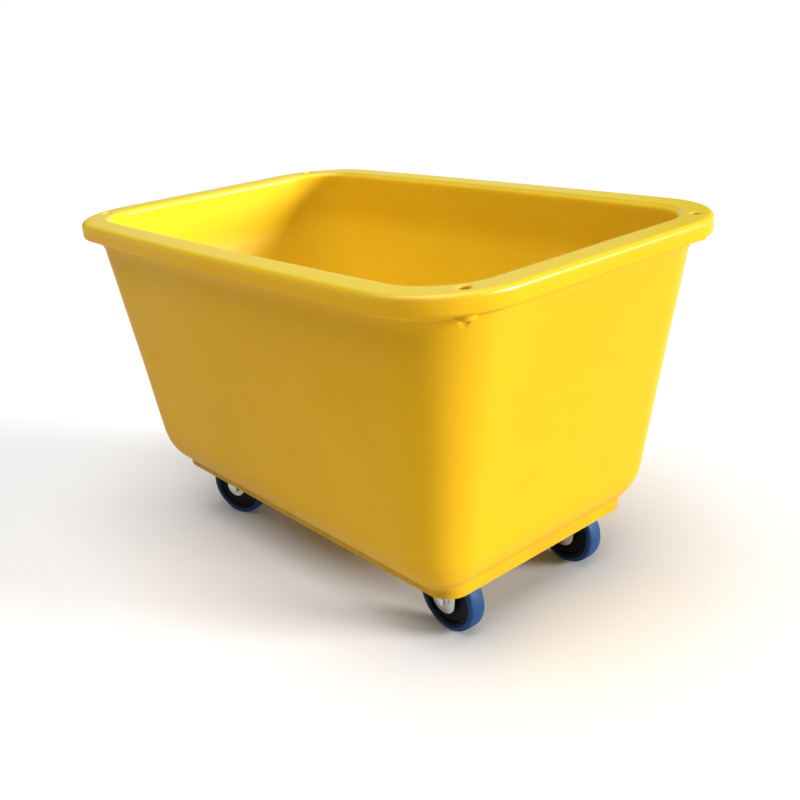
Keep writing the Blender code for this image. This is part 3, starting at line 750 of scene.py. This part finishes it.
def axle_nut_mesh():
    """Flanged nut at -Z, seen with the end of the shank standing out of it."""
    face = LEG_INNER + LEG_THICK + GAP
    nut_low = face + WASHER_THICK - 0.0005
    flange = [(0.0, face + WASHER_THICK), (WASHER_R - 0.0008, face + WASHER_THICK)]
    flange += [(WASHER_R, face + WASHER_THICK - 0.0007), (WASHER_R, face), (0.0, face)]
    nut = hexagon(NUT_R, nut_low, face + WASHER_THICK + NUT_THICK)
    mesh = combine(turned(flange, 48), [nut], "UNION")
    mesh = combine(mesh, [cylinder(AXLE_R + GAP, face - 0.01, face + 0.03)], "DIFFERENCE")
    mesh.transform(Matrix.Rotation(math.pi, 4, "X"))
    return smooth(bevelled(mesh, 0.0003), 30)


def floor_bolt_mesh():
    """Mushroom-headed bolt with a shallow rim, seen on the tub's floor."""
    dome = arc((0, -0.0068), 0.011, 90, 37, 8)
    profile = [(x, z + GAP) for x, z in dome] + [(0.0090, GAP + 0.0004), (0.0088, GAP)]
    profile += [(FLOOR_BOLT_R, GAP), (FLOOR_BOLT_R, -FLOOR_BOLT_LENGTH), (0.0, -FLOOR_BOLT_LENGTH)]
    profile[0] = (0.0, profile[0][1])
    return smooth(turned(profile, 32), 40)


def plate_mesh():
    """A caster's plate, with the four nuts of its floor bolts under it."""
    plate = flat_plate(rounded_rectangle(*PLATE_SIZE, PLATE_CORNER_R, 8), PLATE_THICK)
    plate.transform(Matrix.Translation((0, 0, PLATE_TOP_Z - PLATE_THICK / 2)))
    nut = hexagon(PLATE_NUT_R, -0.0065, 0.0015)
    nuts = []
    for sx in (1, -1):
        for sy in (1, -1):
            nuts.append(moved(nut, sx * PLATE_BOLT_X, sy * PLATE_BOLT_Y, PLATE_TOP_Z - PLATE_THICK))
    return combine(plate, nuts, "UNION")


def leg_outline(axle_x, end_r, top_x, top_half, top_z):
    """Side view of a fork leg: a round end on the axle, and two straight edges to its top."""
    end = (axle_x, WHEEL_R)
    edges = []
    for side in (1, -1):
        corner = Vector((top_x + side * top_half, top_z))
        towards = corner - Vector(end)
        lean = math.atan2(towards.y, towards.x)
        tangent = math.acos(end_r / towards.length)
        edges.append((corner, math.degrees(lean - side * tangent)))
    (right, right_angle), (left, left_angle) = edges
    return [tuple(right), tuple(left)] + arc(end, end_r, left_angle, right_angle + 360, 36)


def add_legs(base, axle_x, end_r, top_x, top_half, top_z):
    """Pressed legs joined to a base, with the axle's hole cut through them."""
    leg = flat_plate(leg_outline(axle_x, end_r, top_x, top_half, top_z), LEG_THICK)
    legs = []
    for side in (1, -1):
        y = side * (LEG_INNER + LEG_THICK / 2)
        copy = leg.copy()
        copy.transform(Matrix.Translation((0, y, 0)) @ Matrix.Rotation(math.pi / 2, 4, "X"))
        legs.append(copy)
    mesh = combine(base, legs, "UNION")
    hole = cylinder(AXLE_R + GAP, -0.05, 0.05)
    hole.transform(Matrix.Translation((axle_x, 0, WHEEL_R)) @ Matrix.Rotation(math.pi / 2, 4, "X"))
    return smooth(bevelled(combine(mesh, [hole], "DIFFERENCE"), 0.0005), 30)


def rigid_fork_mesh():
    top_z = PLATE_TOP_Z - PLATE_THICK / 2
    return add_legs(plate_mesh(), 0.0, RIGID_LEG_END_R, 0.0, RIGID_LEG_TOP, top_z)


def swivel_fork_mesh():
    low = CROWN_TOP_Z - CROWN_THICK
    crown = [(0.0, CROWN_TOP_Z), (CROWN_R - 0.002, CROWN_TOP_Z), (CROWN_R, CROWN_TOP_Z - 0.0015)]
    crown += [(CROWN_R, low), (0.0, low)]
    mesh = combine(
        turned(crown, 64), [cylinder(KING_PIN_R + GAP, low - 0.01, CROWN_TOP_Z + 0.01)], "DIFFERENCE"
    )
    top_z = CROWN_TOP_Z - CROWN_THICK / 2
    return add_legs(
        mesh, -TRAIL, SWIVEL_LEG_END_R, SWIVEL_LEG_SHIFT, SWIVEL_LEG_TOP, top_z
    )


def top_plate_mesh():
    top = PLATE_TOP_Z - PLATE_THICK / 2
    head = [(0.0, top), (0.0310, top), (0.0300, PLATE_TOP_Z - PLATE_THICK - 0.0012)]
    head += [(0.0285, RACE_TOP_Z + GAP + 0.0015), (0.0275, RACE_TOP_Z + GAP)]
    head += [(0.0, RACE_TOP_Z + GAP)]
    mesh = combine(plate_mesh(), [turned(head, 64)], "UNION")
    bore = cylinder(KING_PIN_R + GAP, RACE_TOP_Z - 0.01, PLATE_TOP_Z + 0.01)
    return smooth(bevelled(combine(mesh, [bore], "DIFFERENCE"), 0.0004), 30)


def race_mesh():
    """The ball race between a swivel caster's plate and its fork, as one grooved ring."""
    low = CROWN_TOP_Z + GAP
    middle = (low + RACE_TOP_Z) / 2
    groove = arc((RACE_R + 0.0008, middle), 0.0022, 125, 235, 6)
    profile = [(RACE_R, RACE_TOP_Z)] + groove + [(RACE_R, low)]
    profile += [(0.013, low), (0.013, RACE_TOP_Z)]
    return smooth(turned(profile + profile[:1], 64), 30)


def king_pin_mesh():
    head_top = CROWN_TOP_Z - CROWN_THICK - GAP
    profile = [(0.0, PLATE_TOP_Z - GAP), (KING_PIN_R, PLATE_TOP_Z - GAP)]
    profile += [(KING_PIN_R, head_top), (0.0095, head_top)]
    profile += arc((0.0070, head_top - 0.0025), 0.0025, 0, -90, 5)
    profile.append((0.0, head_top - 0.0050))
    return smooth(turned(profile, 48), 40)


# ---------------------------------------------------------------- assembly

MESHES = {
    "tread": (tread_mesh(), "blue_rubber"),
    "wheel_core": (core_mesh(), "black_plastic"),
    "axle_sleeve": (sleeve_mesh(), "bright_steel"),
    "axle_bolt": (axle_bolt_mesh(), "bright_steel"),
    "axle_nut": (axle_nut_mesh(), "bright_steel"),
    "floor_bolt": (floor_bolt_mesh(), "zinc_plate"),
    "rigid_fork": (rigid_fork_mesh(), "zinc_plate"),
    "swivel_fork": (swivel_fork_mesh(), "zinc_plate"),
    "top_plate": (top_plate_mesh(), "zinc_plate"),
    "swivel_race": (race_mesh(), "zinc_plate"),
    "king_pin": (king_pin_mesh(), "bright_steel"),
}


def middle_of(node):
    low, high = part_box(node)
    return (low + high) / 2


def caster_piece(position, part, body, place):
    mesh, slot = MESHES[part]
    node = f"{position}_{part}"
    piece(node + "_visual", mesh, slot, body, node, place)


def make_caster(position, kind):
    """One caster: the plate's frame, the fork's frame on it, and the axle's on that."""
    axle = middle_of(position + "_tread")
    spin = JOINTS[position + "_wheel_spin"]["axis"]
    yaw = Matrix.Rotation(math.atan2(-spin[0], spin[1]), 4, "Z")
    wheel_body = position + "_wheel"
    if kind == "rigid":
        fork_body = "tub"
        plate = Matrix.Translation((axle.x, axle.y, 0))
        caster_piece(position, "rigid_fork", "tub", plate)
    else:
        fork_body = position + "_swivel"
        pin = middle_of(position + "_king_pin")
        plate = Matrix.Translation((pin.x, pin.y, 0))
        for part in ("top_plate", "swivel_race", "king_pin"):
            caster_piece(position, part, "tub", plate)
        caster_piece(position, "swivel_fork", fork_body, plate @ yaw)
    facing = Matrix.Rotation(math.radians(90 if axle.y < 0 else -90), 4, "X")
    on_axle = Matrix.Translation(axle) @ yaw @ facing
    for part in ("tread", "wheel_core"):
        caster_piece(position, part, wheel_body, on_axle)
    for part in ("axle_sleeve", "axle_bolt", "axle_nut"):
        caster_piece(position, part, fork_body, on_axle)
    mesh, slot = MESHES["floor_bolt"]
    for i in range(1, 5):
        node = f"{position}_floor_bolt_{i}"
        place = middle_of(node)
        place.z = FLOOR_TOP_Z
        piece(node + "_visual", mesh, slot, "tub", node, Matrix.Translation(place))


piece("tub_visual", tub_mesh(), "yellow_polyethylene", "tub", "tub")
for position, kind in (
    ("front_right", "rigid"),
    ("front_left", "rigid"),
    ("rear_right", "swivel"),
    ("rear_left", "swivel"),
):
    make_caster(position, kind)

# ---------------------------------------------------------------- floor, light and camera


def add_floor():
    bm = bmesh.new()
    bmesh.ops.create_grid(bm, x_segments=8, y_segments=8, size=30.0)
    floor = link(bpy.data.objects.new("floor", mesh_from(bm, "floor")))
    floor.data.materials.append(floor_paint())
    floor.location.z = -0.0005


def add_light(name, azimuth, elevation, spread, strength, colour):
    """A broad, distant lamp, from a direction given as for the camera."""
    lamp = bpy.data.lights.new(name, "SUN")
    lamp.energy = strength
    lamp.angle = math.radians(spread)
    lamp.color = colour
    obj = link(bpy.data.objects.new(name, lamp))
    back = direction(math.radians(azimuth), math.radians(elevation))
    obj.location = Vector((0, 0, 0.4)) + back * 4.0
    obj.rotation_euler = back.to_track_quat("Z", "Y").to_euler()


def direction(azimuth, elevation):
    """Unit vector from the cart towards a viewpoint. Both angles are in radians."""
    flat = math.cos(elevation)
    return Vector((math.sin(azimuth) * flat, -math.cos(azimuth) * flat, math.sin(elevation)))


def add_world():
    """A white backdrop for the camera that lights the cart only faintly."""
    world = bpy.data.worlds.new("studio")
    bpy.context.scene.world = world
    world.use_nodes = True
    tree = world.node_tree
    background = tree.nodes["Background"]
    path = tree.nodes.new("ShaderNodeLightPath")
    strength = tree.nodes.new("ShaderNodeMapRange")
    tree.links.new(path.outputs["Is Camera Ray"], strength.inputs["Value"])
    strength.inputs["To Min"].default_value = 0.08
    strength.inputs["To Max"].default_value = 1.0
    tree.links.new(strength.outputs["Result"], background.inputs["Strength"])
    background.inputs["Color"].default_value = rgb(1.0, 1.0, 1.0)


# The photo's viewpoint, found from the rim's outline.
SENSOR = 36.0
CAMERA_AZIMUTH = math.radians(51.84)
CAMERA_ELEVATION = math.radians(21.18)
CAMERA_ROLL = math.radians(-5.12)
CAMERA_DISTANCE = 1.6763 * 2 * RIM_HALF_X
CAMERA_TARGET = Vector((0.0131, -0.0075, RIM_TOP_Z - 0.3436))
CAMERA_LENS = 44.10
CAMERA_SHIFT = (0.0242, -0.0048)


def add_camera():
    camera = bpy.data.cameras.new("camera")
    camera.sensor_width = SENSOR
    camera.lens = CAMERA_LENS
    camera.shift_x, camera.shift_y = CAMERA_SHIFT
    obj = link(bpy.data.objects.new("camera", camera))
    back = direction(CAMERA_AZIMUTH, CAMERA_ELEVATION)
    obj.location = CAMERA_TARGET + back * CAMERA_DISTANCE
    level = (-back).to_track_quat("-Z", "Y").to_matrix().to_4x4()
    roll = Matrix.Rotation(CAMERA_ROLL, 4, "Z")
    obj.rotation_euler = (level @ roll).to_euler()
    bpy.context.scene.camera = obj


add_floor()
add_world()
add_light("key", 123, 13, 22, 5.5, (1.0, 0.99, 0.97))
add_light("top", 10, 78, 60, 3.8, (1.0, 1.0, 1.0))
add_light("back", 232, 15, 34, 0.15, (1.0, 1.0, 1.0))
add_camera()
bpy.context.scene.view_settings.view_transform = "Standard"

bpy.context.view_layer.update()
